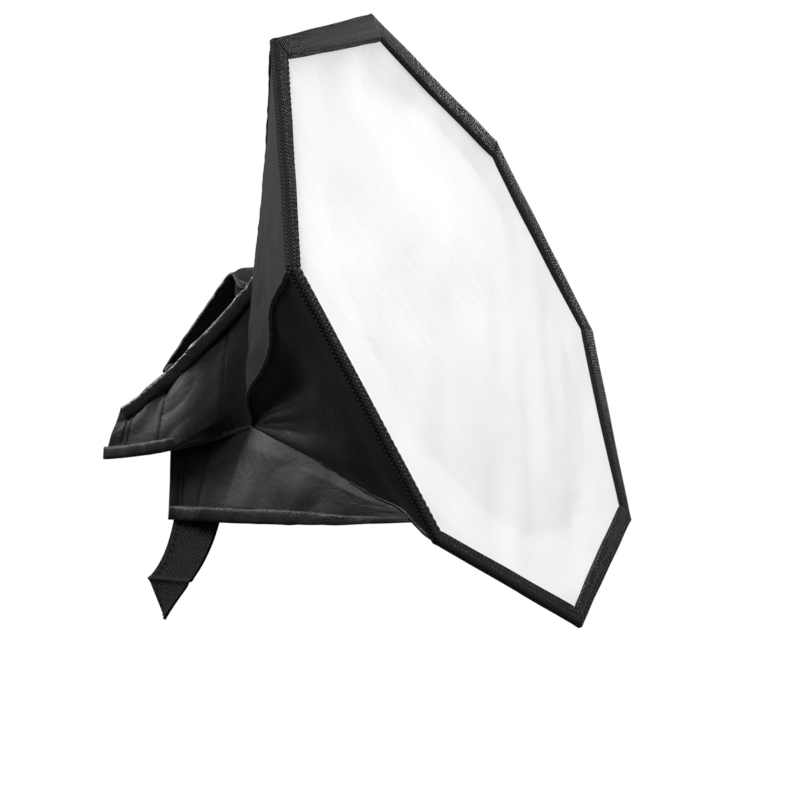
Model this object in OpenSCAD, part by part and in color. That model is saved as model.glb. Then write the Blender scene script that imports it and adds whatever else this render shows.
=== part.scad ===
// Folding octagonal softbox for a shoe-mount flash head.
// Origin: centre of the neck opening that the flash head enters.
// +Z is up, -Y is the way the light leaves, and the front face leans back.

/* [Face] */
// Radius of the octagonal face, centre to corner
face_r = 125; // [80:1:200]
// How far the face leans back from upright, in degrees
face_tilt = 21.4; // [0:0.1:30]
// Height of the face's centre above the neck's centre
face_rise = 17.5; // [0:0.5:30]
// Width of the webbing that binds the edge
binding_w = 9.5; // [6:0.5:14]
// Thickness of the folded webbing
binding_t = 2.6; // [2:0.2:4]
// Thickness of the white front cloth
diffuser_t = 0.6; // [0.4:0.1:1]

/* [Hood] */
// Distance from the face's centre back to the neck
hood_depth = 71; // [60:1:100]
// Width of the neck opening, outside
neck_w = 78; // [60:1:90]
// Height of the neck opening, outside
neck_h = 57; // [45:1:70]
// Thickness of the black shell cloth
cloth_t = 0.8; // [0.5:0.1:1]
// Thickness of the stiffening boards
board_t = 1; // [0.8:0.1:1.2]
// Thickness of the silver lining
lining_t = 0.5; // [0.4:0.1:0.6]
// Length of the elastic band round the neck
band_l = 8; // [5:1:12]
// Thickness of the elastic band
band_t = 1.6; // [1.2:0.2:2]

/* [Rear flaps] */
// How far the side wings reach behind the neck
wing_l = 64; // [50:1:80]
// Gap between the neck's side and a wing
wing_gap = 6; // [5.5:0.5:9]
// Thickness of a wing's doubled cloth
wing_t = 1.2; // [0.8:0.1:2]
// Width of the folded hems
hem_w = 6; // [4:0.5:8]
// Thickness of the folded hems
hem_t = 2.2; // [2:0.1:3]
// How far the top flap reaches behind the neck
top_l = 46; // [35:1:50]
// How far the top flap slopes down, in degrees
top_slope = 45; // [30:1:50]
// Height of the lower flaps' hem below the neck's centre
skirt_drop = 64.5; // [60:0.5:70]
// How far the lower flaps reach behind the neck
skirt_l = 37; // [30:1:45]

/* [Strap] */
// Width of the closing strap
strap_w = 18; // [12:1:20]
// Thickness of the closing strap
strap_t = 1.6; // [1.2:0.2:2]
// Hanging length of the closing strap
strap_l = 38; // [30:1:45]

/* [Hidden] */
SIDES = ["left", "top", "right", "bottom"];

BLACK = [0.07, 0.07, 0.075];
WEBBING = [0.1, 0.1, 0.105];
WHITE = [0.95, 0.95, 0.95];
SILVER = [0.75, 0.76, 0.78];
BOARD = [0.2, 0.2, 0.22];
HOOK = [0.05, 0.05, 0.05];

octagon_step = 45;
half_step = octagon_step / 2;
slit = 0.1;           // clearance of the front cloth in the folded webbing
layer_gap = 0.2;      // air between the hood's layers
rim_set_in = 1.5;     // the shell is sewn this far in from the webbing's edge
board_margin = 0.1;   // share of a triangle that its board leaves free at each corner
neck_x = neck_w / 2;
neck_z = neck_h / 2;
board_in = cloth_t + layer_gap;
lining_in = board_in + board_t + layer_gap;
wing_x = neck_x + wing_gap;
wing_root_y = 1;
flap_root_y = band_l + 1.8;
flap_lift = 0.2;
wing_tip_top = [wing_l - 8, -neck_z + 6];
wing_tip_low = [wing_l, -neck_z - 14];
wing_hem_bend = [22, -neck_z - 8];
wing_foot = [3, -neck_z + 2];
wing_head = [wing_root_y, neck_z];
skirt_x = neck_x + 3;
skirt_top = neck_z + 3;       // where the lower flap leaves the hood's seam, below the centre
skirt_rear_top = neck_z - 8;  // its top edge behind the neck, hidden by the wing
skirt_t = 1;
seam_share = 0.8;     // the lower flap follows the hood's seam for this share of its length
strap_root_y = 13;
strap_top = -skirt_drop - 0.8;
strap_x = skirt_x + 0.3;
strap_back = 15;      // how far the loose strap drifts backwards
patch_t = 1;
wing_patch_in = 12;   // free cloth behind the wing's hook patch
wing_patch_l = 12;
top_patch_l = 12;
top_patch_in = 4;     // cloth between the top flap's patch and its hem

// A point of the leaning face, from its own x and z and its depth behind the front cloth
function on_face(x, z, depth) = [
    x,
    -hood_depth + depth * cos(face_tilt) + z * sin(face_tilt),
    face_rise - depth * sin(face_tilt) + z * cos(face_tilt)
];

// Corner i of the hood's front ring, for a layer set in by t; 0 is the top one, and they run clockwise
function rim_point(i, t) =
    let (r = face_r - rim_set_in - 1.15 * t, a = 90 - i * octagon_step)
    on_face(r * cos(a), r * sin(a), binding_t / 2 + 0.05);

// Neck corner j for a layer set in by t: 0 top left, 1 top right, 2 bottom right, 3 bottom left
function neck_point(j, t) =
    let (sx = (j == 1 || j == 2) ? 1 : -1, sz = (j < 2) ? 1 : -1)
    [sx * (neck_x - t), 0, sz * (neck_z - t)];

// A point between three corners, pulled in from them by the board margin
function pulled_in(p, tri) =
    let (c = (tri[0] + tri[1] + tri[2]) / 3)
    p + (c - p) * board_margin * 3;

// A closed slab between an outer and an inner outline of three points each. A wall isn't quite flat, so it is
// split on a diagonal, and the two flags flip that of the second and third wall to meet a neighbour's exactly
module triangle_slab(outer, inner, flip_second = false, flip_third = false) {
    polyhedron(
        points = concat(outer, inner),
        faces = concat(
            [[0, 1, 2], [5, 4, 3], [0, 3, 4], [0, 4, 1]],
            flip_second ? [[1, 4, 5], [1, 5, 2]] : [[1, 4, 2], [4, 5, 2]],
            flip_third ? [[2, 5, 3], [2, 3, 0]] : [[2, 5, 0], [5, 3, 0]]
        )
    );
}

// A closed slab between an outer and an inner outline of four points each, creased from 1 to 3
module quad_slab(outer, inner) {
    polyhedron(
        points = concat(outer, inner),
        faces = [
            [0, 1, 3], [1, 2, 3], [7, 5, 4], [7, 6, 5],
            [0, 4, 5], [0, 5, 1], [1, 5, 6], [1, 6, 2],
            [2, 6, 7], [2, 7, 3], [3, 7, 4], [3, 4, 0]
        ]
    );
}

// The four corners of side s (0 left, 1 top, 2 right, 3 bottom) for a layer set in by t
function side_corners(s, t) = [
    rim_point(2 * s - 2, t), rim_point(2 * s - 1, t), neck_point(s, t), neck_point((s + 3) % 4, t)
];

// The three corners of gusset s (0 top left, clockwise) for a layer set in by t
function gusset_corners(s, t) = [rim_point(2 * s - 1, t), rim_point(2 * s, t), neck_point(s, t)];

module side_layer(s, t, thick) {
    quad_slab(side_corners(s, t), side_corners(s, t + thick));
}

module gusset_layer(s, t, thick) {
    triangle_slab(gusset_corners(s, t), gusset_corners(s, t + thick));
}

// A side's cloth is creased from one rim corner to the opposite neck corner; this is the half along the rim
module side_panel_rim(s) {
    out = side_corners(s, 0);
    inn = side_corners(s, cloth_t);
    color(BLACK) triangle_slab([out[0], out[1], out[3]], [inn[0], inn[1], inn[3]], true, true);
}

// The half of a side's cloth along the neck
module side_panel_neck(s) {
    out = side_corners(s, 0);
    inn = side_corners(s, cloth_t);
    color(BLACK) triangle_slab([out[1], out[2], out[3]], [inn[1], inn[2], inn[3]], true);
}

module corner_gusset(s) {
    color(BLACK) gusset_layer(s, 0, cloth_t);
}

// Two flat boards a side, one on each side of the panel's crease
module stiffener_board(s) {
    out = side_corners(s, board_in);
    inn = side_corners(s, board_in + board_t);
    color(BOARD)
        for (tri = [[0, 1, 3], [1, 2, 3]]) {
            a = [for (k = tri) out[k]];
            b = [for (k = tri) inn[k]];
            triangle_slab([for (p = a) pulled_in(p, a)], [for (p = b) pulled_in(p, b)]);
        }
}

// Odd numbers line the corner gussets, even numbers the side panels
module silver_lining(i) {
    color(SILVER)
        if (i % 2 == 1) gusset_layer((i - 1) / 2, lining_in, lining_t);
        else side_layer(i / 2 % 4, lining_in, lining_t);
}

module in_face_plane() {
    translate([0, -hood_depth, face_rise]) rotate([90 - face_tilt, 0, 0]) children();
}

function octagon_points(r) = [for (i = [0:7]) [r * sin(i * octagon_step), r * cos(i * octagon_step)]];

module diffuser() {
    color(WHITE) in_face_plane()
        linear_extrude(height = diffuser_t, center = true) polygon(octagon_points(face_r - 2.5));
}

// One edge of folded webbing, mitred at both corners and slit for the front cloth
module edge_binding(i) {
    r_in = face_r - binding_w / cos(half_step);
    a = (i - 1) * octagon_step;
    b = i * octagon_step;
    color(WEBBING) in_face_plane()
        difference() {
            linear_extrude(height = binding_t, center = true)
                polygon([
                    [face_r * sin(a), face_r * cos(a)], [face_r * sin(b), face_r * cos(b)],
                    [r_in * sin(b), r_in * cos(b)], [r_in * sin(a), r_in * cos(a)]
                ]);
            linear_extrude(height = diffuser_t + 2 * slit, center = true)
                polygon(octagon_points(face_r - 2));
        }
}

// A flat outline given as [y, z] points, standing at x and thick towards the centre of the object
module side_sheet(x, thick, outline) {
    translate([x, 0, 0]) rotate([90, 0, 90]) linear_extrude(height = thick) polygon(outline);
}

// Draws the left-hand part, or its mirror image on the right
module on_side(right) {
    if (right) mirror([1, 0, 0]) children();
    else children();
}

module neck_band() {
    color(WEBBING)
        translate([0, band_l, 0]) rotate([90, 0, 0]) linear_extrude(height = band_l)
            difference() {
                square([neck_w + 2 * band_t, neck_h + 2 * band_t], center = true);
                square([neck_w, neck_h], center = true);
            }
}

// A point on the wing's outline moved straight up by d
function raised(p, d) = p + [0, d];

module wing() {
    color(BLACK)
        side_sheet(-wing_x, wing_t, [
            raised(wing_head, -hem_w), raised(wing_tip_top, -hem_w), raised(wing_tip_low, hem_w),
            raised(wing_hem_bend, hem_w), raised(wing_foot, hem_w)
        ]);
}

module wing_ridge_hem() {
    color(BLACK)
        side_sheet(-wing_x - (hem_t - wing_t) / 2, hem_t, [
            wing_head, wing_tip_top, raised(wing_tip_top, -hem_w), raised(wing_head, -hem_w)
        ]);
}

module wing_lower_hem() {
    color(BLACK)
        side_sheet(-wing_x - (hem_t - wing_t) / 2, hem_t, [
            wing_foot, raised(wing_foot, hem_w), raised(wing_hem_bend, hem_w),
            raised(wing_tip_low, hem_w), wing_tip_low, wing_hem_bend
        ]);
}

// Hook patch on the inner face of the wing's tip, between the two hems
module wing_hook_patch() {
    front = wing_l - wing_patch_in - wing_patch_l;
    rear = wing_l - wing_patch_in;
    color(HOOK)
        side_sheet(-wing_x + wing_t, patch_t, [
            [front, -neck_z + 11], [rear, -neck_z + 1], [rear, -neck_z - 4.5], [front, -neck_z - 2.5]
        ]);
}

// The top flap's own plane, hinged just behind the band
module in_top_flap() {
    translate([0, flap_root_y, neck_z + flap_lift]) rotate([-top_slope, 0, 0]) children();
}

module top_flap() {
    color(BLACK) in_top_flap()
        translate([-neck_x, 0, 0]) cube([neck_w, top_l - hem_w, wing_t]);
}

module top_flap_hem() {
    color(BLACK) in_top_flap()
        translate([-neck_x, top_l - hem_w, -(hem_t - wing_t) / 2]) cube([neck_w, hem_w, hem_t]);
}

module top_loop_patch() {
    color(HOOK) in_top_flap()
        translate([-neck_x / 2, top_l - hem_w - top_patch_in - top_patch_l, wing_t])
            cube([neck_x, top_patch_l, patch_t]);
}

// The seam between the bottom panel and the lower left gusset, a share s of the way to the face
function seam_point(s) = neck_point(3, 0) + (rim_point(5, 0) - neck_point(3, 0)) * s;

// A lower flap's point at the neck's depth (0) or at its rear edge (1), at this height
function skirt_point(rear, height) = [-skirt_x, rear * skirt_l, height];

// The rear half is flat, and the front half follows the seam
module skirt_slab(rear, front, t) {
    side = [t, 0, 0];
    quad_slab(rear, [for (p = rear) p + side]);
    quad_slab(front, [for (p = front) p + side]);
}

module lower_flap() {
    low = -skirt_drop + hem_w;
    tip = seam_point(seam_share) + [-1.5, 0, -2.5];
    rear = [
        skirt_point(1, -skirt_rear_top), skirt_point(0, -skirt_rear_top),
        skirt_point(0, low), skirt_point(1, low)
    ];
    front = [skirt_point(0, -skirt_top), tip, tip + [0, 0, -0.5], skirt_point(0, low)];
    color(BLACK) skirt_slab(rear, front, skirt_t);
}

module lower_flap_hem() {
    top = -skirt_drop + hem_w;
    tip = seam_point(seam_share) + [-1.5, 0, -3];
    rear = [
        skirt_point(1, top), skirt_point(0, top),
        skirt_point(0, -skirt_drop), skirt_point(1, -skirt_drop)
    ];
    front = [skirt_point(0, top), tip, tip + [0, 0, -hem_w], skirt_point(0, -skirt_drop)];
    color(BLACK) translate([-(hem_t - skirt_t) / 2, 0, 0]) skirt_slab(rear, front, hem_t);
}

function strap_outline() = [
    [strap_root_y, strap_top], [strap_root_y + strap_w, strap_top],
    [strap_root_y + strap_w + strap_back, strap_top - strap_l * 0.6],
    [strap_root_y + strap_w + strap_back - 9, strap_top - strap_l],
    [strap_root_y + 5, strap_top - strap_l * 0.4]
];

module closing_strap() {
    color(WEBBING) side_sheet(-strap_x, strap_t, strap_outline());
}

module strap_hook_pad() {
    color(HOOK)
        side_sheet(-strap_x + strap_t, patch_t, [
            [strap_root_y + 16, strap_top - 17], [strap_root_y + 27, strap_top - 21],
            [strap_root_y + 27, strap_top - 31], [strap_root_y + 16, strap_top - 23]
        ]);
}

// The strap passes under the head and closes on this pad, on the far lower flap
module strap_loop_pad() {
    color(HOOK)
        translate([skirt_x, strap_root_y, -skirt_drop + hem_w + 2]) cube([patch_t, strap_w, 14]);
}

diffuser();
for (i = [1:8])
    edge_binding(i);
for (s = [0:3]) {
    side_panel_rim(s);
    side_panel_neck(s);
}
corner_gusset(0);  // corner_gusset_top_left
corner_gusset(1);  // corner_gusset_top_right
corner_gusset(2);  // corner_gusset_bottom_right
corner_gusset(3);  // corner_gusset_bottom_left
stiffener_board(0);  // stiffener_board_left
stiffener_board(1);  // stiffener_board_top
stiffener_board(2);  // stiffener_board_right
stiffener_board(3);  // stiffener_board_bottom
for (i = [1:8])
    silver_lining(i);
neck_band();
top_flap();
top_flap_hem();
top_loop_patch();
wing();  // wing_left
on_side(true) wing();  // wing_right
wing_lower_hem();  // wing_lower_hem_left
on_side(true) wing_lower_hem();  // wing_lower_hem_right
wing_ridge_hem();  // wing_ridge_hem_left
on_side(true) wing_ridge_hem();  // wing_ridge_hem_right
wing_hook_patch();  // wing_hook_patch_left
on_side(true) wing_hook_patch();  // wing_hook_patch_right
lower_flap();  // lower_flap_left
on_side(true) lower_flap();  // lower_flap_right
lower_flap_hem();  // lower_flap_hem_left
on_side(true) lower_flap_hem();  // lower_flap_hem_right
closing_strap();
strap_hook_pad();
strap_loop_pad();
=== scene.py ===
# %% [markdown]
# # An octagonal softbox for a flash head
# The real thing is a hood of black cloth with a white front cloth, bound in ribbed webbing, and a few loose
# flaps behind that wrap a flash head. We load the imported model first, because every sheet here is hung on its
# sizes.

# %% Load the frame
import math

import bmesh
import bpy
from mathutils import Matrix, Vector, noise


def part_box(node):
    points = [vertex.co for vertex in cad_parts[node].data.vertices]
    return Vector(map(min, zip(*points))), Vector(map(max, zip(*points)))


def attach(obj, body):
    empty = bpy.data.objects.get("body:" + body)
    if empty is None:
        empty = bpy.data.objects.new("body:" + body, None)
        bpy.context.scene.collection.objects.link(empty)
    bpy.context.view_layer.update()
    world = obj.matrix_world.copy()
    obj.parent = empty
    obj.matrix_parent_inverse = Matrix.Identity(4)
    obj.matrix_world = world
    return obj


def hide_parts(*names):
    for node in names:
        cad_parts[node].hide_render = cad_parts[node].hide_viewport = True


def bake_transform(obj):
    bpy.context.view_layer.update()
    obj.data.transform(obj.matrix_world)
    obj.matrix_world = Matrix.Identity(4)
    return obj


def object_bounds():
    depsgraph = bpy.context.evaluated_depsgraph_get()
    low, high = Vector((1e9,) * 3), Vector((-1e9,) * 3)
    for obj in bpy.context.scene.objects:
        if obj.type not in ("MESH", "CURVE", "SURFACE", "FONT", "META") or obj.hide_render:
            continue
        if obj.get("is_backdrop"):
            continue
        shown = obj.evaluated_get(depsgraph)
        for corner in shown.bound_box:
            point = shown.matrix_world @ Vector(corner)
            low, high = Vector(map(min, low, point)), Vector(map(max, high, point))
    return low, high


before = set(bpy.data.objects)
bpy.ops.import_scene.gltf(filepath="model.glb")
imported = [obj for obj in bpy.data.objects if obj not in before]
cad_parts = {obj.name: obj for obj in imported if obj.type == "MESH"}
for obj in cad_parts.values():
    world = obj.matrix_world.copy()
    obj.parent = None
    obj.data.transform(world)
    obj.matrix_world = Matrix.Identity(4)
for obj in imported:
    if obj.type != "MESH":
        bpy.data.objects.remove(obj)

cad_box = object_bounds()
MM = 0.001
print("size of the model in mm:", [round((b - a) / MM, 1) for a, b in zip(*cad_box)])

# %% [markdown]
# ## Where things are
# The face leans back, so we need its own plane. The white cloth's box gives its tilt and its centre, once we
# allow for how far the cloth stops short of the webbing's edge and for its own thickness. The webbing's side
# corner gives the radius. The neck's size comes from the elastic band round it.

# %% The face and the neck
CLOTH_IN = 2.5 * MM
CLOTH_LEAN = 0.56 * MM
FACE_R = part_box("edge_binding_2")[1].x
front_low, front_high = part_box("diffuser")
FACE_TILT = math.asin((front_high.y - front_low.y - CLOTH_LEAN) / (2 * (FACE_R - CLOTH_IN)))
FACE_C = (front_low + front_high) / 2
NECK_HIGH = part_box("neck_band")[1]
BAND_T = 1.6 * MM
NECK_X = NECK_HIGH.x - BAND_T
NECK_Z = NECK_HIGH.z - BAND_T
CORNER = math.radians(45)
BIND_W = [11.5 * MM, 13.5 * MM, 12.5 * MM, 9 * MM, 7 * MM, 5 * MM, 5.5 * MM, 8 * MM]
print("face radius", round(FACE_R, 4), "tilt", round(math.degrees(FACE_TILT), 1), "centre", FACE_C)


def on_face(x, z, depth):
    """A point of the leaning face: x across, z up the slope, depth behind the front cloth."""
    back = Vector((0, math.cos(FACE_TILT), -math.sin(FACE_TILT)))
    up = Vector((0, math.sin(FACE_TILT), math.cos(FACE_TILT)))
    return FACE_C + Vector((x, 0, 0)) + up * z + back * depth


def rim(i, radius, depth):
    """Corner i of the octagon; 0 is the top one, and they run to the right seen from the front flap side."""
    return on_face(radius * math.sin(i * CORNER), radius * math.cos(i * CORNER), depth)


NECK = [Vector((sx * NECK_X, 0, sz * NECK_Z)) for sx, sz in ((-1, 1), (1, 1), (1, -1), (-1, -1))]

# %% [markdown]
# ## The camera
# The softbox is seen from a little below its own height, from the left of the front. The aim and the roll are
# kept as one rotation, built from where the camera looks and which way is up for it.

# %% Camera
CAMERA_PLACE = Vector((-0.4896, -0.3088, -0.0349))
LOOK = Vector((0.8773, 0.4788, 0.0308)).normalized()
UP = Vector((-0.035, 0.0, 0.9993)).normalized()
camera = bpy.data.objects.new("camera", bpy.data.cameras.new("camera"))
bpy.context.scene.collection.objects.link(camera)
side = LOOK.cross(UP).normalized()
true_up = side.cross(LOOK)
turn = Matrix((side, true_up, -LOOK)).transposed()
camera.matrix_world = Matrix.Translation(CAMERA_PLACE) @ turn.to_4x4()
camera.data.lens = 65.2
camera.data.sensor_width = 36
camera.data.clip_start = 0.01
bpy.context.scene.camera = camera
print("camera", round(CAMERA_PLACE.length, 3), "m from the neck")

# %% [markdown]
# ## A plain studio
# A white room with a white floor far below the hood, so no edge of the floor shows, and four broad lights.
# The room looks white to the eye but gives only a little light, most of it from above, so black cloth stays
# black and is darkest where it turns under. The big light stands in front of the white cloth, as a window
# would, and the three others draw the folds of the hood and the flaps from either side and from behind.

# %% Floor, lights and room
floor_bm = bmesh.new()
bmesh.ops.create_circle(floor_bm, cap_ends=True, segments=64, radius=0.5)
bmesh.ops.translate(floor_bm, verts=floor_bm.verts, vec=(0, 0, -1.2))
floor_mesh = bpy.data.meshes.new("floor")
floor_bm.to_mesh(floor_mesh)
floor = bpy.data.objects.new("floor", floor_mesh)
bpy.context.scene.collection.objects.link(floor)
floor_mat = bpy.data.materials.new("pale_floor")
floor_mat.use_nodes = True
floor_mat.node_tree.nodes["Principled BSDF"].inputs["Base Color"].default_value = (0.9, 0.9, 0.9, 1)
floor_mat.node_tree.nodes["Principled BSDF"].inputs["Roughness"].default_value = 0.9
floor_mesh.materials.append(floor_mat)
floor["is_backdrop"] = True

world = bpy.data.worlds.new("white_room")
world.use_nodes = True
world.node_tree.nodes["Background"].inputs["Color"].default_value = (1, 1, 1, 1)
room_tree = world.node_tree
seen = room_tree.nodes.new("ShaderNodeLightPath")
strength = room_tree.nodes.new("ShaderNodeMix")
strength.inputs["B"].default_value = 1.0
direction = room_tree.nodes.new("ShaderNodeTexCoord")
height = room_tree.nodes.new("ShaderNodeSeparateXYZ")
from_above = room_tree.nodes.new("ShaderNodeMapRange")
from_above.inputs["From Min"].default_value = -0.3
from_above.inputs["From Max"].default_value = 0.8
from_above.inputs["To Min"].default_value = 0.02
from_above.inputs["To Max"].default_value = 0.34
room_tree.links.new(direction.outputs["Generated"], height.inputs[0])
room_tree.links.new(height.outputs["Z"], from_above.inputs["Value"])
room_tree.links.new(from_above.outputs["Result"], strength.inputs["A"])
room_tree.links.new(seen.outputs["Is Camera Ray"], strength.inputs["Factor"])
room_tree.links.new(strength.outputs["Result"], room_tree.nodes["Background"].inputs["Strength"])
bpy.context.scene.world = world
bpy.context.scene.view_settings.view_transform = "Standard"


def soft_light(name, place, target, size, watts):
    """A square area light that faces its target."""
    lamp = bpy.data.lights.new(name, "AREA")
    lamp.size = size
    lamp.energy = watts
    light = bpy.data.objects.new(name, lamp)
    aim = (Vector(target) - Vector(place)).to_track_quat("-Z", "Y")
    light.matrix_world = Matrix.Translation(place) @ aim.to_matrix().to_4x4()
    bpy.context.scene.collection.objects.link(light)


soft_light("front_light", (0.1, -0.95, 0.5), FACE_C + Vector((0, 0, 0.1)), 0.7, 7.8)
soft_light("side_light", (-0.75, 0.1, 1.2), (0, 0, 0), 0.35, 17)
soft_light("rear_light", (-0.4, 1.1, 0.6), (0, 0, 0), 0.4, 11)
soft_light("right_light", (1.1, 0.15, 0.45), (0, 0, 0), 0.4, 12)

# %% [markdown]
# ## Materials
# All the cloth patterns read a UV map in metres, made with each sheet, so a thread has the same size
# everywhere and follows the sheet as it bends. A small helper makes the material and hands back the nodes we
# need.

# %% A material to start from
def start_material(name, color, rough):
    """A material whose shader has these plain values; returns its node tree and shader too."""
    mat = bpy.data.materials.new(name)
    mat.use_nodes = True
    tree = mat.node_tree
    shader = tree.nodes["Principled BSDF"]
    shader.inputs["Base Color"].default_value = (*color, 1)
    shader.inputs["Roughness"].default_value = rough
    return mat, tree, shader


def add(tree, kind, **sockets):
    """A node with some of its sockets set, by name."""
    node = tree.nodes.new(kind)
    for name, value in sockets.items():
        node.inputs[name.replace("_", " ")].default_value = value
    return node


def math_node(tree, operation, a, b=None):
    """A Math node; a and b are numbers or sockets."""
    node = tree.nodes.new("ShaderNodeMath")
    node.operation = operation
    for slot, value in enumerate((a, b)):
        if value is None:
            continue
        if isinstance(value, (int, float)):
            node.inputs[slot].default_value = value
        else:
            tree.links.new(value, node.inputs[slot])
    return node.outputs[0]


def ramp_between(tree, factor, low, high):
    """A colour that goes from low to high with the factor."""
    mix = tree.nodes.new("ShaderNodeMix")
    mix.data_type = "RGBA"
    tree.links.new(factor, mix.inputs["Factor"])
    mix.inputs["A"].default_value = (*low, 1)
    mix.inputs["B"].default_value = (*high, 1)
    return mix.outputs["Result"]


def cloth_uv(tree):
    """The sheet's own coordinates in metres, along and across."""
    uv = tree.nodes.new("ShaderNodeUVMap")
    uv.uv_map = "cloth"
    split = tree.nodes.new("ShaderNodeSeparateXYZ")
    tree.links.new(uv.outputs[0], split.inputs[0])
    return uv.outputs[0], split.outputs[0], split.outputs[1]


def wave(tree, distance, pitch, phase=None):
    """A sine from 0 to 1 along a distance in metres, with this pitch."""
    angle = math_node(tree, "MULTIPLY", distance, 2 * math.pi / pitch)
    if phase is not None:
        angle = math_node(tree, "ADD", angle, phase)
    return math_node(tree, "MULTIPLY_ADD", math_node(tree, "SINE", angle), 0.5)


def bump(tree, shader, height, distance, strength=1.0, below=None):
    """Ties a height to the shader's normal, on top of an earlier bump."""
    node = add(tree, "ShaderNodeBump", Strength=strength, Distance=distance)
    tree.links.new(height, node.inputs["Height"])
    if below is not None:
        tree.links.new(below, node.inputs["Normal"])
    tree.links.new(node.outputs[0], shader.inputs["Normal"])
    return node.outputs[0]


# %% [markdown]
# ### Coated black nylon
# The shell is a light, tightly woven nylon with a coating. It has a fine plain weave, small creases and a
# soft sheen that changes from place to place. The weave is two crossed sines, and the creases are two sizes
# of noise.

# %% Black nylon
def black_nylon(name, dark, pale, crease, smooth=0.3):
    mat, tree, shader = start_material(name, dark, 0.5)
    uv, along, across = cloth_uv(tree)
    creases = add(tree, "ShaderNodeTexNoise", Scale=55.0, Detail=5.0, Roughness=0.6, Distortion=0.6)
    tree.links.new(uv, creases.inputs["Vector"])
    wear = add(tree, "ShaderNodeTexNoise", Scale=400.0, Detail=3.0)
    tree.links.new(uv, wear.inputs["Vector"])
    weave = math_node(tree, "MULTIPLY", wave(tree, along, 0.7 * MM), wave(tree, across, 0.7 * MM))
    tone = math_node(tree, "MULTIPLY_ADD", wear.outputs[0], 0.5)
    tone.node.inputs[2].default_value = 0.1
    mixed = math_node(tree, "ADD", tone, math_node(tree, "MULTIPLY", weave, 0.12))
    tree.links.new(ramp_between(tree, mixed, dark, pale), shader.inputs["Base Color"])
    gloss = math_node(tree, "MULTIPLY_ADD", creases.outputs[0], 0.35)
    gloss.node.inputs[2].default_value = smooth
    tree.links.new(gloss, shader.inputs["Roughness"])
    shader.inputs["Specular IOR Level"].default_value = 0.28
    shader.inputs["Sheen Weight"].default_value = 0.02
    first = bump(tree, shader, creases.outputs[0], crease, 0.5)
    bump(tree, shader, weave, 0.04 * MM, 0.4, first)
    return mat


NYLON = black_nylon("black_nylon", (0.003, 0.003, 0.0032), (0.011, 0.011, 0.0115), 0.9 * MM)
HEM = black_nylon("hem_nylon", (0.004, 0.004, 0.0042), (0.014, 0.014, 0.0145), 3 * MM)
RIDGE = black_nylon("ridge_nylon", (0.004, 0.004, 0.0042), (0.016, 0.016, 0.0165), 3 * MM, 0.1)
print("made", NYLON.name, HEM.name, "and", RIDGE.name)

# %% [markdown]
# ### Ribbed webbing
# The binding is a thick ribbed tape. Its ribs run across it and shift by half a rib from row to row, which is
# what makes the beaded look along the edge. The row number picks the shift, so one sine draws them all.
# The bead tops are painted paler and the grooves between them darker: a painted sheen and painted shade.

# %% Webbing
def ribbed_webbing(name, rib, row, height):
    mat, tree, shader = start_material(name, (0.02, 0.02, 0.02), 0.7)
    uv, along, across = cloth_uv(tree)
    odd = math_node(tree, "GREATER_THAN", wave(tree, across, 2 * row), 0.5)
    ribs = wave(tree, along, rib, math_node(tree, "MULTIPLY", odd, math.pi))
    row_turn = math_node(tree, "MULTIPLY", across, math.pi / row)
    rows = math_node(tree, "ABSOLUTE", math_node(tree, "SINE", row_turn))
    beads = math_node(tree, "MULTIPLY", ribs, math_node(tree, "POWER", rows, 0.5))
    fuzz = add(tree, "ShaderNodeTexNoise", Scale=1500.0, Detail=2.0)
    tree.links.new(uv, fuzz.inputs["Vector"])
    # Painted sheen and shade: the colour follows the beads, paler on the rib tops and darker in the grooves.
    tone = math_node(tree, "MULTIPLY", beads, math_node(tree, "ADD", fuzz.outputs[0], 0.2))
    color = ramp_between(tree, tone, (0.0012, 0.0012, 0.0012), (0.028, 0.028, 0.0285))
    tree.links.new(color, shader.inputs["Base Color"])
    shader.inputs["Specular IOR Level"].default_value = 0.15
    shader.inputs["Sheen Weight"].default_value = 0.02
    bump(tree, shader, beads, height, 0.9)
    return mat


WEBBING = ribbed_webbing("black_webbing", 1.5 * MM, 1.2 * MM, 0.5 * MM)
STRAP_WEB = ribbed_webbing("strap_webbing", 1.0 * MM, 0.8 * MM, 0.25 * MM)
THREAD, thread_tree, thread_shader = start_material("black_thread", (0.03, 0.03, 0.03), 0.9)
thread_shader.inputs["Specular IOR Level"].default_value = 0.08
thread_noise = add(thread_tree, "ShaderNodeTexNoise", Scale=2500.0)
thread_place = thread_tree.nodes.new("ShaderNodeTexCoord")
thread_tree.links.new(thread_place.outputs["Object"], thread_noise.inputs["Vector"])
thread_dark, thread_light = (0.003, 0.003, 0.003), (0.012, 0.012, 0.012)
thread_color = ramp_between(thread_tree, thread_noise.outputs[0], thread_dark, thread_light)
thread_tree.links.new(thread_color, thread_shader.inputs["Base Color"])
print("made", WEBBING.name, STRAP_WEB.name, THREAD.name)

# %% [markdown]
# ### White front cloth
# The diffuser is a thin white nylon that lets light through. Its weave is only just visible, and a faint
# mottling comes from the cloth's uneven tension. Some light passes into it, which the subsurface weight
# stands for.

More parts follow.
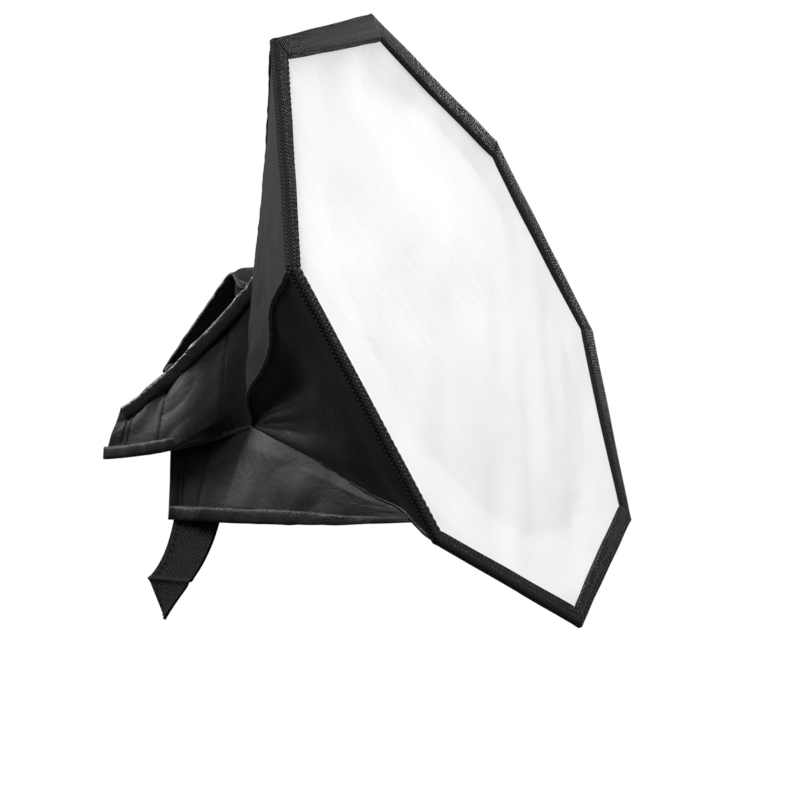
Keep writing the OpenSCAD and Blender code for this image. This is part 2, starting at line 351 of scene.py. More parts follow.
# %% Diffuser cloth
def white_cloth():
    mat, tree, shader = start_material("white_nylon", (0.93, 0.93, 0.93), 0.55)
    uv, along, across = cloth_uv(tree)
    mottle = add(tree, "ShaderNodeTexNoise", Scale=35.0, Detail=4.0)
    tree.links.new(uv, mottle.inputs["Vector"])
    color = ramp_between(tree, mottle.outputs[0], (0.955, 0.953, 0.95), (0.99, 0.988, 0.985))
    tree.links.new(color, shader.inputs["Base Color"])
    weave = math_node(tree, "MULTIPLY", wave(tree, along, 0.5 * MM), wave(tree, across, 0.5 * MM))
    first = bump(tree, shader, mottle.outputs[0], 2 * MM, 0.5)
    bump(tree, shader, weave, 0.05 * MM, 0.4, first)
    shader.inputs["Subsurface Weight"].default_value = 0.2
    shader.inputs["Subsurface Scale"].default_value = 0.004
    shader.inputs["Subsurface Radius"].default_value = (1, 1, 1)
    shader.inputs["Sheen Weight"].default_value = 0.2
    return mat


WHITE = white_cloth()
print("made", WHITE.name)

# %% [markdown]
# ### The pieces that keep their CAD shape
# The hook and loop patches are flat in life too, so only their finish changes. Their meshes carry no UV map,
# so these patterns read the object's own place in metres. The silver and board finishes are for the hood's
# inner layers.

# %% Silver, board, and hook and loop
def speckled(name, dark, pale, rough, scale, height, metal=0.0):
    mat, tree, shader = start_material(name, pale, rough)
    place = tree.nodes.new("ShaderNodeTexCoord")
    grain = add(tree, "ShaderNodeTexNoise", Scale=scale, Detail=4.0, Roughness=0.65)
    tree.links.new(place.outputs["Object"], grain.inputs["Vector"])
    tree.links.new(ramp_between(tree, grain.outputs[0], dark, pale), shader.inputs["Base Color"])
    shader.inputs["Metallic"].default_value = metal
    bump(tree, shader, grain.outputs[0], height, 0.6)
    return mat


SILVER = speckled("silver_lining", (0.5, 0.51, 0.53), (0.8, 0.81, 0.83), 0.32, 90.0, 2 * MM, 0.85)
BOARD = speckled("stiffener_board", (0.02, 0.02, 0.022), (0.05, 0.05, 0.052), 0.55, 700.0, 0.1 * MM)
HOOK = speckled("hook_and_loop", (0.004, 0.004, 0.004), (0.05, 0.05, 0.05), 0.9, 1800.0, 0.8 * MM)
CAD_FINISH = {"wing_hook": HOOK, "top_loop": HOOK, "strap_hook": HOOK,
              "strap_loop": HOOK}
for name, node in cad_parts.items():
    for start, finish in CAD_FINISH.items():
        if name.startswith(start):
            node.data.materials.clear()
            node.data.materials.append(finish)
print("refinished", len([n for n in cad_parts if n.startswith(tuple(CAD_FINISH))]), "plain pieces")

# %% [markdown]
# ## Making a sheet of cloth
# Every piece of cloth starts as a flat grid. A function then says where each point of the grid hangs, which
# is how a pattern cutter thinks: along and across first, the hang after. The grid's own distances become the
# UV map.

# %% Sheets and tubes
def to_object(bm, name, material, smooth=True):
    """Puts a bmesh in the scene as an object at the origin."""
    mesh = bpy.data.meshes.new(name)
    bm.to_mesh(mesh)
    bm.free()
    mesh.materials.append(material)
    for face in mesh.polygons:
        face.use_smooth = smooth
    piece = bpy.data.objects.new(name, mesh)
    bpy.context.scene.collection.objects.link(piece)
    return piece


def hung_grid(place, cols, rows, size, away=None, wrap=False):
    """A grid whose point (u, v), each 0 to 1, hangs at place(u, v). size is its real width and length, which
    the UV map uses."""
    bm = bmesh.new()
    bmesh.ops.create_grid(bm, x_segments=cols, y_segments=rows, size=0.5)
    uv = bm.loops.layers.uv.new("cloth")
    spots = {v: (v.co.x + 0.5, v.co.y + 0.5) for v in bm.verts}
    for face in bm.faces:
        for loop in face.loops:
            u, v = spots[loop.vert]
            loop[uv].uv = (u * size[0], v * size[1])
    for vert, (u, v) in spots.items():
        vert.co = place(u, v)
    if wrap:
        bmesh.ops.remove_doubles(bm, verts=bm.verts, dist=0.005 * MM)
        ends = [e for e in bm.edges if e.is_boundary]
        bmesh.ops.holes_fill(bm, edges=ends, sides=0)
        bmesh.ops.recalc_face_normals(bm, faces=bm.faces)
    if away is not None:
        bmesh.ops.remove_doubles(bm, verts=bm.verts, dist=0.005 * MM)
        bm.normal_update()
        lean = sum((f.normal.dot(f.calc_center_median() - away) * f.calc_area() for f in bm.faces))
        if lean < 0:
            bmesh.ops.reverse_faces(bm, faces=bm.faces)
    return bm


def thicken(piece, thickness, offset=-1.0):
    """Gives a sheet its thickness; -1 grows it inwards from the faces' outer side."""
    wall = piece.modifiers.new("cloth thickness", "SOLIDIFY")
    wall.thickness = thickness
    wall.offset = offset
    return piece


def folds(p, size, seed):
    """Smooth noise from -1 to 1 for cloth, the same every run."""
    return noise.noise(Vector(p) / size + Vector((seed * 7.3, seed * 3.1, seed * 1.7)))


def flat_cut(points):
    """The width, length and area of a flat pattern with these corners, opened out round the first one."""
    spokes = [p - points[0] for p in points[1:]]
    outline = [(0.0, 0.0), (spokes[0].length, 0.0)]
    turn = 0.0
    area = 0.0
    for a, b in zip(spokes, spokes[1:]):
        turn += a.angle(b)
        area += a.cross(b).length / 2
        outline.append((b.length * math.cos(turn), b.length * math.sin(turn)))
    xs, ys = zip(*outline)
    return max(xs) - min(xs), max(ys) - min(ys), area


def declare(piece, points):
    """Prints the width, length and area of a piece cut flat between these corners."""
    width, length, area = flat_cut(points)
    print(piece.name, "was cut from", round(width / MM), "by", round(length / MM), "mm,", end=" ")
    print(round(area * 1e4, 1), "sq cm")


print("sheet helpers ready")

# %% [markdown]
# ## The hood's shell
# Four trapezoid sides and four triangular gussets join the octagon to the neck. A side is a twisted patch
# between four corners, so cloth hangs in it as a smooth saddle. It fills out a little between the seams, and
# it puckers near them, most of all towards the neck, where the spare cloth collects.

# %% Shell panels
SEW_R = FACE_R - 1.6 * MM
SEW_DEPTH = 1.2 * MM
AXIS_POINT = Vector((0, FACE_C.y * 0.5, FACE_C.z * 0.3))


def corners(front, neck):
    """The octagon and neck corners of one panel, as points."""
    return [rim(i, SEW_R, SEW_DEPTH) for i in front], [NECK[j] for j in neck]


def bell(t, middle, width):
    """A smooth bump of height 1."""
    return math.exp(-((t - middle) / width) ** 2)


def seam_sag(front, neck, t):
    """How far a ridge seam hangs off its straight line, t from the rim to the neck. The cloth is slack round
    the lower left gusset, so its two seams wander; the others are nearly straight."""
    ends = min(1.0, 8 * t, 8 * (1 - t))
    if (front % 8, neck) == (6, 3):
        return Vector((0, 3.3 * bell(t, 0.2, 0.13) + 5 * bell(t, 0.76, 0.14), 0)) * ends * MM
    if (front % 8, neck) == (5, 3):
        return Vector((0, 0, 2.2 * math.sin(math.pi * t) + 2.5 * bell(t, 0.14, 0.11) * ends)) * MM
    return Vector((0, -1.2 * math.sin(math.pi * t), 0)) * MM


def seam_point(front, neck, t):
    """A point of the ridge seam from rim corner front to neck corner neck."""
    return rim(front, SEW_R, SEW_DEPTH).lerp(NECK[neck], t) + seam_sag(front, neck, t)


def outward_of(points):
    """The direction out of the hood from a panel with these corners."""
    out = (points[1] - points[0]).cross(points[2] - points[0]).normalized()
    return out if out.dot(sum(points, Vector()) / len(points) - AXIS_POINT) > 0 else -out


def slack(u, v):
    """The lower left gusset's own shape: a lip that turns under along one seam, and a pocket by the other."""
    return (4 * bell(u, 0.22, 0.13) - 4.5 * bell(u, 0.72, 0.2)) * math.sin(math.pi * v) * MM


def layer(front, neck, shape):
    """One surface that the shell, the board and the lining of a panel share, so they nest whatever it does.
    Returns its function of (u, v, depth inside the shell), its outward direction and its corners."""
    (a, b), (c, d) = corners(front, neck)
    points = [a, b, c] if neck[0] == neck[1] else [a, b, c, d]
    outward = outward_of(points)

    def spot(u, v, depth):
        flat = seam_point(front[0], neck[1], v).lerp(seam_point(front[1], neck[0], v), u)
        return flat + outward * (shape(u, v) - depth)

    return spot, outward, points


def cut_size(points):
    """The lengths of a panel's front edge and side seam, for its UV map."""
    return (points[1] - points[0]).length, (points[0] - points[-1]).length


def full(amount):
    """A panel's fullness: it stands out most in its middle."""
    return lambda u, v: amount * 4 * u * (1 - u) * math.sin(math.pi * v) * MM


def shell_panel(name, front, neck, seed, shape):
    spot, outward, points = layer(front, neck, shape)

    def place(u, v):
        pucker = folds((u * 0.09, v * 0.02, 0), 0.012, seed) * (0.2 + v) * 0.7 * MM
        start = spot(u, v, 0)
        crumple = folds(start, 0.03, seed + 5) * 0.9 * MM + folds(start, 0.01, seed + 9) * 0.2 * MM
        fade = min(1.0, 8 * u * (1 - u)) * min(1.0, 6 * v) * min(1.0, 6 * (1 - v))
        return start + outward * ((abs(pucker) + abs(crumple)) * fade + 0.2 * MM)

    bm = hung_grid(place, 72, 72, cut_size(points), away=AXIS_POINT)
    piece = thicken(to_object(bm, name, NYLON), 0.7 * MM)
    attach(piece, "hood")
    declare(piece, points)
    return piece


SIDES = ["left", "top", "right", "bottom"]
GUSSETS = ["top_left", "top_right", "bottom_right", "bottom_left"]
PANEL_SHAPES = [full(1.5), full(2), full(2), full(2)]
GUSSET_SHAPES = [full(1), full(1), full(1), slack]


def side_of(s):
    """The rim corners and neck corners of side s, and its shape."""
    return (2 * s - 2, 2 * s - 1), (s, (s + 3) % 4), PANEL_SHAPES[s]


def gusset_of(s):
    """The rim corners and neck corner of gusset s, and its shape."""
    return (2 * s - 1, 2 * s), (s, s), GUSSET_SHAPES[s]


for s, side_name in enumerate(SIDES):
    front, neck, shape = side_of(s)
    panel = shell_panel(f"shell_{side_name}", front, neck, s + 1, shape)
    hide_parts(f"side_panel_{side_name}_rim", f"side_panel_{side_name}_neck")
for s, corner_name in enumerate(GUSSETS):
    front, neck, shape = gusset_of(s)
    gusset = shell_panel(f"gusset_{corner_name}", front, neck, s + 11, shape)
    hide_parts(f"corner_gusset_{corner_name}")

# %% [markdown]
# ## Boards and lining
# Each side holds two thin boards with a fold between them, and a crinkled silver cloth inside throws the
# light forward. Both follow the shell's own surface at a fixed depth, so no layer can come through another,
# and the crinkles of the silver cloth only go inwards.

# %% Boards
BOARD_IN = 1.1 * MM
LINING_IN = 2.4 * MM
BOARD_MARGIN = 0.3
HALVES = [[(0, 0), (1, 0), (0, 1)], [(1, 0), (1, 1), (0, 1)]]


def board(s, side_name):
    spot = layer(*side_of(s))[0]
    whole = bmesh.new()
    for half in HALVES:
        middle = sum((Vector(p) for p in half), Vector((0, 0))) / 3
        p0, p1, p2 = [Vector(p).lerp(middle, BOARD_MARGIN) for p in half]

        def place(u, v, p0=p0, p1=p1, p2=p2):
            at = p0.lerp(p1, u).lerp(p2, v)
            return spot(at.x, at.y, BOARD_IN)

        bm = hung_grid(place, 20, 20, (0.08, 0.08), away=AXIS_POINT)
        half_mesh = bpy.data.meshes.new("half_board")
        bm.to_mesh(half_mesh)
        bm.free()
        whole.from_mesh(half_mesh)
        bpy.data.meshes.remove(half_mesh)
    piece = thicken(to_object(whole, f"board_{side_name}", BOARD), 0.9 * MM)
    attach(piece, "hood")
    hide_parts(f"stiffener_board_{side_name}")


for s, side_name in enumerate(SIDES):
    board(s, side_name)
print("made a folded board for each side")


# %% Linings
def lining(number):
    """Odd numbers line the gussets and even ones the sides."""
    front, neck, shape = gusset_of((number - 1) // 2) if number % 2 else side_of(number // 2 % 4)
    spot, outward, points = layer(front, neck, shape)

    def place(u, v):
        start = spot(u, v, LINING_IN)
        crinkle = abs(folds(start, 0.009, number)) * 0.7 + abs(folds(start, 0.004, number + 3)) * 0.3
        return start - outward * crinkle * min(1.0, 12 * v, 12 * (1 - v), 12 * u, 12 * (1 - u)) * MM

    bm = hung_grid(place, 64, 64, cut_size(points), away=AXIS_POINT)
    piece = thicken(to_object(bm, f"lining_{number}", SILVER), 0.3 * MM)
    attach(piece, "hood")
    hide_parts(f"silver_lining_{number}")
    declare(piece, points)


for number in range(1, 9):
    lining(number)

# %% [markdown]
# ## The front cloth
# The white cloth is stretched in the frame and pulls from its corners, so long shallow waves run across it.
# We cut it from a square grid with one cut for each side of the octagon, then let it breathe a little.

# %% Diffuser
def front_cloth():
    bm = bmesh.new()
    reach = FACE_R - 3 * MM
    bmesh.ops.create_grid(bm, x_segments=110, y_segments=110, size=reach)
    uv = bm.loops.layers.uv.new("cloth")
    for face in bm.faces:
        for loop in face.loops:
            loop[uv].uv = loop.vert.co.xy
    flat_side = reach * math.cos(CORNER / 2)
    for i in range(8):
        cut = (i + 0.5) * CORNER
        normal = Vector((math.sin(cut), math.cos(cut), 0))
        parts = bm.verts[:] + bm.edges[:] + bm.faces[:]
        bmesh.ops.bisect_plane(bm, geom=parts, plane_co=normal * flat_side, plane_no=normal, clear_outer=True)
    for vert in bm.verts:
        x, z = vert.co.x, vert.co.y
        edge = min(1.0, 5 * (1 - math.hypot(x, z) / flat_side)) if math.hypot(x, z) < flat_side else 0.0
        along = x * 0.55 + z * 0.83
        over = x * 0.83 - z * 0.55
        wavy = folds((along * 0.4, over * 1.3, 0), 0.03, 3) * 1.2 * MM
        wavy += folds((along * 0.3, over, 0), 0.013, 4) * 0.4 * MM
        vert.co = on_face(x, z, edge * (wavy + 1.6 * MM))
    bm.normal_update()
    if sum(f.normal.y for f in bm.faces) > 0:
        bmesh.ops.reverse_faces(bm, faces=bm.faces)
    piece = thicken(to_object(bm, "front_cloth", WHITE), 0.4 * MM, 0.0)
    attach(piece, "hood")
    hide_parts("diffuser")
    return piece


# %% [markdown]
# ## The webbing round the edge
# One tape is folded over the edge and mitred at each corner. Each stretch is a closed tube with a flattened
# round section, and its corners lie on the octagon's own corner lines, so neighbours meet in a true mitre.
# The tape wasn't sewn at one width, so every corner has its own, and a stretch goes evenly from one to the
# next.

# %% Edge binding
def section(v, wide, thick, power=0.55):
    """A point of a flattened round section; v runs once round it."""
    a = 2 * math.pi * v
    cx, sx = math.cos(a), math.sin(a)
    return math.copysign(abs(cx) ** power, cx) * wide / 2, math.copysign(abs(sx) ** power, sx) * thick / 2


def binding(i):
    def place(u, v):
        wide = BIND_W[i - 1] + (BIND_W[i % 8] - BIND_W[i - 1]) * u
        inset, depth = section(v, wide, 2.9 * MM)
        inset += wide / 2 + 0.25 * MM * folds((u * 0.1, i, 0), 0.02, i)
        depth += 0.25 * MM * folds((u * 0.1, i, 1), 0.025, i)
        radius = FACE_R + 0.4 * MM - inset / math.cos(CORNER / 2)
        radius += 0 if 0.02 < u < 0.98 else 0.15 * MM
        return rim(i - 1, radius, depth).lerp(rim(i, radius, depth), u)

    length = 2 * FACE_R * math.sin(CORNER / 2)
    bm = hung_grid(place, 64, 28, (length, BIND_W[i - 1] + BIND_W[i % 8] + 5.8 * MM), wrap=True)
    piece = to_object(bm, f"binding_{i}", WEBBING)
    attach(piece, "hood")
    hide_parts(f"edge_binding_{i}")
    return piece


bindings = [binding(i) for i in range(1, 9)]
diffuser = front_cloth()
print("bound the rim with", len(bindings), "stretches of webbing")

# %% [markdown]
# ## Stitches
# A sewn line is what makes cloth look made. Each stitch is a tiny stretched bead laid along the seam, and one
# function lays a row of them along any path.

# %% Stitch rows
def stitch_row(bm, path, pitch=2.4 * MM, length=1.6 * MM, width=0.35 * MM):
    """Lays stitches along a list of points."""
    for a, b in zip(path, path[1:]):
        count = max(1, round((b - a).length / pitch))
        turn = (b - a).to_track_quat("X", "Z").to_matrix().to_4x4()
        for k in range(count):
            spot = a.lerp(b, (k + 0.5) / count)
            shape = Matrix.Diagonal((length, width, width, 1))
            put = Matrix.Translation(spot) @ turn @ shape
            bmesh.ops.create_icosphere(bm, subdivisions=1, radius=0.5, matrix=put)


def stitch_piece(name, rows, body):
    """Stitches along each row, attached to body unless body is None."""
    bm = bmesh.new()
    for row in rows:
        stitch_row(bm, row)
    piece = to_object(bm, name, THREAD)
    if body:
        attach(piece, body)
    print(name, "has", len(piece.data.polygons) // 20, "stitches")
    return piece


rim_rows = []
for depth in (-1.45 * MM, 1.45 * MM):
    ends = [FACE_R - (wide - 1.4 * MM) / math.cos(CORNER / 2) for wide in BIND_W]
    for i in range(8):
        rim_rows.append([rim(i, ends[i], depth), rim(i + 1, ends[(i + 1) % 8], depth)])
stitch_piece("rim_stitches", rim_rows, "hood")

# %% [markdown]
# ## Ridge seams
# Where two shell panels meet, the edges are turned together and stand up as a thin cord of cloth. A slim tube
# along each ridge makes that seam, and it catches a thin line of light as the real one does.

# %% Seams along the ridges
def tube(name, points, radius, material, body, rib=0.0):
    """A thin round seam through a list of points."""
    spans = len(points) - 1

    def place(u, v):
        at = min(spans - 1, int(u * spans))
        a, b = points[at], points[at + 1]
        along = (b - a).normalized()
        out = along.cross(Vector((0.3, 0.5, 0.8))).normalized()
        other = along.cross(out)
        wobble = radius * (1 + rib * folds((u * 0.2, 0, 0), 0.006, len(name)))
        angle = 2 * math.pi * v
        return a.lerp(b, u * spans - at) + out * math.cos(angle) * wobble + other * math.sin(angle) * wobble

    length = sum((b - a).length for a, b in zip(points, points[1:]))
    bm = hung_grid(place, max(12, int(length / MM / 2)), 10, (length, 2 * math.pi * radius), wrap=True)
    piece = to_object(bm, name, material)
    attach(piece, body)
    return piece


NECK_OF = [0, 1, 1, 2, 2, 3, 3, 0]
for i in range(8):
    steps = [seam_point(i, NECK_OF[i], k / 16) for k in range(17)]
    tube(f"ridge_seam_{i + 1}", steps, 0.9 * MM, HEM, "hood", 0.4)
print("sewed eight ridges")

# %% [markdown]
# ## The rear flaps
# Each flap is a sheet with a folded hem. The wings stand at the sides of the neck, wider at the root than at
# the tip, and their lower hem curls outwards.

# %% Wings
def curve3(a, b, c, t):
    """A point on the smooth curve from a to c that leans towards b."""
    return a.lerp(b, t).lerp(b.lerp(c, t), t)


def wing_point(sign, u, v):
    """A point of a wing: u from root to tip, v from ridge to lower hem."""
    x = NECK_X + 6 * MM
    ridge_low, ridge_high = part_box("wing_ridge_hem_left")
    hem_low, hem_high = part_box("wing_lower_hem_left")
    head = Vector((x, -1 * MM, ridge_high.z))
    tip = Vector((x, ridge_high.y, ridge_low.z + 6 * MM))
    foot = Vector((x, -1 * MM, -NECK_Z - 1 * MM))
    low = Vector((x, hem_high.y, hem_low.z))
    ridge = curve3(head, head.lerp(tip, 0.5) + Vector((0, -1 * MM, -9 * MM)), tip, u)
    lower = curve3(foot, Vector((x, hem_low.y + 20 * MM, hem_low.z + 2 * MM)), low, u)
    spot = ridge.lerp(lower, v)
    fold_at = min(1.0, 0.76 + 0.45 * u)
    if v < fold_at:
        bulge = math.sin(math.pi / 2 * v / fold_at) ** 2
    else:
        bulge = 1 - (v - fold_at) / max(0.04, 1.04 - fold_at)
    belly = bulge * math.sin(math.pi * min(1, u * 0.9 + 0.1)) * 5 * MM
    curl = u * u * 2 * MM
    rumple = abs(folds((u * 0.07, v * 0.05, sign), 0.018, 2)) * 0.9 * MM
    near_root = min(1.0, max(0.0, spot.y / (26 * MM)))
    spot.x = spot.x - (1 - near_root * near_root * (3 - 2 * near_root)) * 4.6 * MM
    spot.x += (belly + curl + rumple) * min(1.0, 5 * u) + 0.4 * MM
    spot.x *= sign
    return spot


def hem_tube(name, path, wide, thick, lean, steps, pucker,
             material=None, seed=1, slim_start=0.0, slim_end=0.0):
    """A folded hem along path(t): a flat tube with gathers. lean is the direction of its width. It thins out
    to a fine roll over the share slim_start of its length, and over slim_end at its other end."""
    def place(u, v):
        p = path(u)
        ahead = path(min(1, u + 0.01)) - path(max(0, u - 0.01))
        ahead.normalize()
        across = (lean - ahead * lean.dot(ahead)).normalized()
        out = ahead.cross(across)
        gather = folds((u * 0.1, 0, 0), 0.007, seed)
        slim = 0.25 + 0.75 * min(1, u / max(slim_start, 1e-6), (1 - u) / max(slim_end, 1e-6))
        w, t = section(v, wide * slim * (1 + 0.12 * gather), thick * slim * (1 + pucker * gather), 0.7)
        shift = pucker * 0.5 * MM * folds((u * 0.1, 1, 0), 0.01, seed)
        return p + across * (w - wide * slim / 2 + shift) + out * (t + shift)

    length = sum((path((k + 1) / 20) - path(k / 20)).length for k in range(20))
    bm = hung_grid(place, steps, 20, (length, 2 * (wide + thick)), wrap=True)
    return to_object(bm, name, material or HEM)


def wing(side_name, sign):
    body = f"wing_{side_name}"

    def place(u, v):
        spot = wing_point(sign, u, v)
        for line in (0.86, 0.9, 0.62, 0.2):
            spot.x -= sign * 0.5 * MM * math.exp(-((u - line) / 0.008) ** 2)
        return spot

    inside = Vector((0, 0.03, 0))
    bm = hung_grid(place, 80, 60, (0.075, 0.055), away=inside)
    sheet_piece = thicken(to_object(bm, f"{body}_cloth", NYLON), 0.9 * MM)
    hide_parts(f"wing_{side_name}")
    cut = [wing_point(sign, u, v) for u, v in ((0, 0), (1, 0), (1, 1), (0, 1))]
    declare(sheet_piece, cut)
    down = Vector((0, 0, -1))
    lower = hem_tube(f"{body}_lower_fold", lambda t: wing_point(sign, t, 1.0), 5 * MM, 2.2 * MM, down,
                     90, 0.5, seed=3, slim_start=0.45)
    lower_node = f"wing_lower_hem_{side_name}"
    up_back = Vector((0, 0.4, 1))
    ridge = hem_tube(f"{body}_ridge_fold", lambda t: wing_point(sign, t, 0.0), 6 * MM, 2.2 * MM, up_back,
                     80, 0.6, RIDGE, seed=4)
    ridge_node = f"wing_ridge_hem_{side_name}"
    for piece, cad in ((lower, lower_node), (ridge, ridge_node)):
        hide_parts(cad)
    out = Vector((sign * 0.9 * MM, 0, 0))
    rows = []
    for u in (0.9, 0.86, 0.62, 0.2):
        rows.append([wing_point(sign, u, 0.08 + 0.84 * k / 6) + out * 0.4 for k in range(7)])
    for v in (0.1, 0.88):
        rows.append([wing_point(sign, k / 12, v) + out * 0.7 for k in range(1, 13)])
    thread = stitch_piece(f"{body}_stitches", rows, body)
    thread.parent = None
    for piece in (sheet_piece, lower, ridge, thread):
        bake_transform(piece)


wing("left", -1)
wing("right", 1)

# %% [markdown]
# ## The top flap
# It covers the head from above, so it is a gentle arch that drops at its rear edge. Its rear hem is folded
# and stitched, and the sides are turned once.

# %% Top flap
FLAP_LOW, FLAP_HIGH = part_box("top_flap")
HEM_LOW, HEM_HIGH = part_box("top_flap_hem")


def top_point(u, v):
    """u from left to right, v from the seam on the shell, over the band, to the rear edge."""
    seam = Vector((0, -1.2 * MM, NECK_Z + 1 * MM))
    bend = Vector((0, FLAP_LOW.y - 0.6 * MM, NECK_Z + 2.3 * MM))
    rear = Vector((0, HEM_HIGH.y - 0.8 * MM, HEM_LOW.z + 1.5 * MM))
    after = max(0.0, (v - 0.18) / 0.82)
    spot = bend.lerp(rear, after) if v > 0.18 else seam.lerp(bend, v / 0.18)
    spot.x = (2 * u - 1) * FLAP_HIGH.x
    middle = 1 - (2 * u - 1) ** 2
    arch = middle * 4 * MM * math.sin(math.pi * (0.1 + 0.75 * v)) - (1 - middle) * 6 * MM * after ** 2
    rumple = folds((u * 0.08, v * 0.05, 0), 0.016, 21) * 1.2 * MM
    rumple += folds((u * 0.08, v * 0.05, 0), 0.006, 22) * 0.3 * MM
    spot.z += arch + abs(rumple) * min(1, 8 * v) + 0.2 * MM
    over_band = bell(v, 0.09, 0.1)
    spot.x *= 1 + 0.075 * over_band
    spot.z -= (1 - middle) ** 6 * 8 * MM * over_band
    return spot


bm = hung_grid(top_point, 80, 60, (0.078, 0.056), away=Vector((0, 0.03, -0.05)))
flap = thicken(to_object(bm, "top_flap_cloth", NYLON), 0.9 * MM)
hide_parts("top_flap")
declare(flap, [top_point(u, v) for u, v in ((0, 0), (1, 0), (1, 1), (0, 1))])
back_down = Vector((0, 1, -0.5))
rear_fold = hem_tube("top_flap_rear_fold", lambda t: top_point(t, 1.0), 5.5 * MM, 2.3 * MM, back_down,
                     80, 0.45, seed=8)
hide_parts("top_flap_hem")
edge_folds = []
for u, name in ((0.0, "left"), (1.0, "right")):
    sideways = Vector((2 * u - 1, 0, 0))
    fold = hem_tube(f"top_flap_{name}_fold", lambda t, u=u: top_point(u, t), 4 * MM, 1.8 * MM, sideways,
                    60, 0.3, seed=9)
    edge_folds.append(fold)
lift = Vector((0, 0, 0.5 * MM))
rows = [[top_point(k / 10, v) + lift for k in range(11)] for v in (0.88, 0.24)]
flap_thread = stitch_piece("top_flap_stitches", rows, "top_flap")
flap_thread.parent = None
for piece in (flap, rear_fold, flap_thread, *edge_folds):
    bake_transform(piece)

# %% [markdown]
# ## The lower flaps
# These hang from the seam under each side, from the neck's rear almost to the face. The cloth is nearly
# straight, and the hem is gathered, so it ripples along its lower edge.

# %% Lower flaps
SKIRT_LOW, SKIRT_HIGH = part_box("lower_flap_hem_left")
SKIRT_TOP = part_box("lower_flap_left")[1].z


def skirt_point(sign, u, v):
    """u from the rear edge to the front tip, v from the sewn top to the hem."""
    x = NECK_X + 3 * MM
    reach = 0.9
    turn_at = 0.3
    rear = SKIRT_HIGH.y - 1.8 * MM
    if u < turn_at:
        t = u / turn_at
        top = Vector((-x, rear, SKIRT_TOP)).lerp(NECK[3] + Vector((-1.6, 0, 0)) * MM, t)
        top.z += 3 * MM * math.sin(math.pi * t)
    else:
        top = seam_point(5, 3, 1 - (u - turn_at) / (1 - turn_at) * reach)
        top.x -= 1.6 * MM * (1 - u) / (1 - turn_at)
    start = Vector((-x - 0.5 * MM, rear, SKIRT_LOW.z + 1 * MM))
    end = seam_point(5, 3, 1 - reach) + Vector((-0.5, 0, -1.2)) * MM
    low = curve3(start, Vector((-x, -2 * MM, start.z)), end, u)
    low.z = start.z + (end.z - start.z) * u ** 3
    spot = top.lerp(low, v)
    room = 1 - max(0.0, (u - 0.75) / 0.25)
    ripple = folds((u * 0.13, 0, 0), 0.011, 31) * 1.6 * MM * v * v
    rumple = folds((u * 0.13, v * 0.03, 0), 0.02, 32) * 0.8 * MM
    spot.x -= (abs(rumple) + ripple * 0.8 + 0.4 * MM) * min(1, 5 * v) * room
    spot.x *= -sign
    return spot


def lower_flap(side_name, sign):
    def place(u, v):
        spot = skirt_point(sign, u, v)
        for line in (0.05, 0.075, 0.17):
            spot.x -= sign * 0.45 * MM * math.exp(-((u - line) / 0.005) ** 2)
        return spot

    bm = hung_grid(place, 130, 40, (0.13, 0.033), away=Vector((0, 0, -0.04)))
    cloth = thicken(to_object(bm, f"lower_flap_cloth_{side_name}", NYLON), 0.8 * MM)
    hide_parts(f"lower_flap_{side_name}")
    cut = [skirt_point(sign, u, v) for u, v in ((0, 0), (0, 1), (0.6, 1), (1, 1), (0.3, 0))]
    declare(cloth, cut)
    down = Vector((0, 0, -1))
    fold = hem_tube(f"lower_flap_fold_{side_name}", lambda t: skirt_point(sign, t, 1.0), 5.5 * MM, 2.2 * MM,
                    down, 130, 0.7, seed=12, slim_end=0.4)
    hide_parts(f"lower_flap_hem_{side_name}")
    out = Vector((sign * 0.5 * MM, 0, 0))
    rows = [[skirt_point(sign, u, 0.05 + 0.72 * k / 5) + out for k in range(6)] for u in (0.05, 0.075, 0.17)]
    rows.append([skirt_point(sign, 0.8 * k / 24, 0.82) + out * 1.5 for k in range(25)])
    stitch_piece(f"lower_flap_stitches_{side_name}", rows, "hood")
    for piece in (cloth, fold):
        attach(piece, "hood")


lower_flap("left", -1)
lower_flap("right", 1)

# %% [markdown]
# ## The closing strap and the neck band
# The strap is flat webbing, sewn under the lower flap's hem and left hanging. It curls back and twists as it
# drops. The neck band is elastic, so its surface has fine ribs along its length.

# %% Strap
STRAP_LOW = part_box("closing_strap")[0]


def strap_point(u, v):
    """u down the strap, v across it, front to rear. Its last part is turned back on itself, to a point."""
    front = curve3(Vector((0, 12, -61)), Vector((0, 14, -77)), Vector((0, 24, -88)), min(1, u / 0.68))
    rear = curve3(Vector((0, 33, -61)), Vector((0, 36, -80)), Vector((0, 46, -88)), min(1, u / 0.68))
    if u > 0.68:
        t = (u - 0.68) / 0.32
        front = front.lerp(Vector((0, 37.5, -103)), t)
        rear = rear.lerp(Vector((0, 38.5, -103)), t)
    spot = front.lerp(rear, v) * MM
    curl = math.sin(math.pi * min(1, u)) * 2.5 * MM * (1 - v) - u * u * 3 * MM * (v - 0.3)
    crease = 0.8 * MM * math.exp(-((u - 0.68) / 0.02) ** 2)
    spot.x = STRAP_LOW.x + 0.6 * MM - curl * 0.8 - crease
    return spot


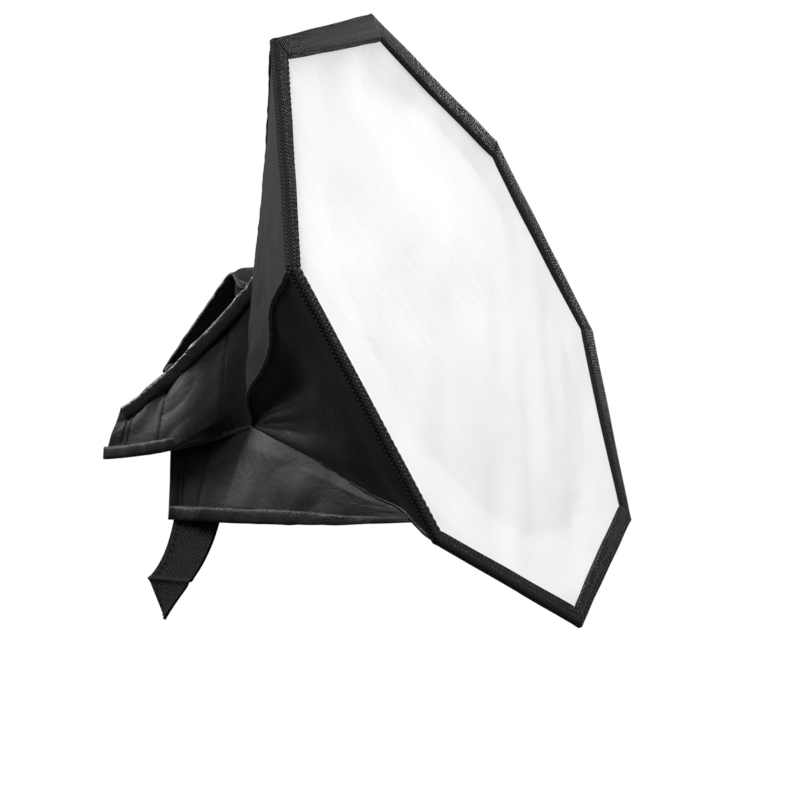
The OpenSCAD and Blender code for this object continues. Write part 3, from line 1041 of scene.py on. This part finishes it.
bm = hung_grid(strap_point, 60, 24, (0.042, 0.018), away=Vector((0.1, 0.02, -0.08)))
strap = thicken(to_object(bm, "closing_strap_web", STRAP_WEB), 1.3 * MM)
soften = strap.modifiers.new("soft edges", "BEVEL")
soften.width = 0.4 * MM
soften.segments = 2
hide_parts("closing_strap")
strap_rows = [[strap_point(k / 8, 0.86) + Vector((-0.3 * MM, 0, 0)) for k in range(9)],
              [strap_point(0.1, v) + Vector((-0.3 * MM, 0, 0)) for v in (0.05, 0.35, 0.65, 0.95)]]
strap_threads = stitch_piece("strap_stitches", strap_rows, None)
for piece in (strap, strap_threads):
    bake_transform(piece)


# %% Neck band
def band_ring():
    bm = bmesh.new()
    width, height, depth = NECK_HIGH.x * 2, NECK_HIGH.z * 2, NECK_HIGH.y
    bmesh.ops.create_cube(bm, size=1)
    bmesh.ops.scale(bm, vec=(width - BAND_T, depth, height - BAND_T), verts=bm.verts)
    bmesh.ops.translate(bm, vec=(0, depth / 2, 0), verts=bm.verts)
    open_ends = [f for f in bm.faces if abs(f.normal.y) > 0.9]
    bmesh.ops.delete(bm, geom=open_ends, context="FACES_ONLY")

    def running_back():
        return [e for e in bm.edges if abs((e.verts[0].co - e.verts[1].co).y) > depth / 2]

    round_off = 4 * MM
    bmesh.ops.bevel(bm, geom=running_back(), offset=round_off, segments=6, affect="EDGES", profile=0.5,
                    material=-1)
    bmesh.ops.subdivide_edges(bm, edges=running_back(), cuts=6)
    uv = bm.loops.layers.uv.new("cloth")
    for face in bm.faces:
        for loop in face.loops:
            p = loop.vert.co
            loop[uv].uv = (math.atan2(p.x, p.z) * 0.04, p.y)
    bmesh.ops.recalc_face_normals(bm, faces=bm.faces)
    piece = thicken(to_object(bm, "neck_elastic", STRAP_WEB), BAND_T, 0.0)
    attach(piece, "hood")
    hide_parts("neck_band")
    return piece


band = band_ring()
print("the neck is", round(2 * NECK_X / MM), "by", round(2 * NECK_Z / MM), "mm")

# %% [markdown]
# ## Sizes and the end
# The finished model's box is set against the imported one's, and their difference is printed in mm. The
# finished model has to stay inside the imported one, give or take cloth.

# %% Print the sizes
new_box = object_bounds()
growth = [[round((a - b) / MM, 1) for a, b in zip(x, y)] for x, y in zip(new_box, cad_box)]
print("visual minus CAD in mm:", growth)
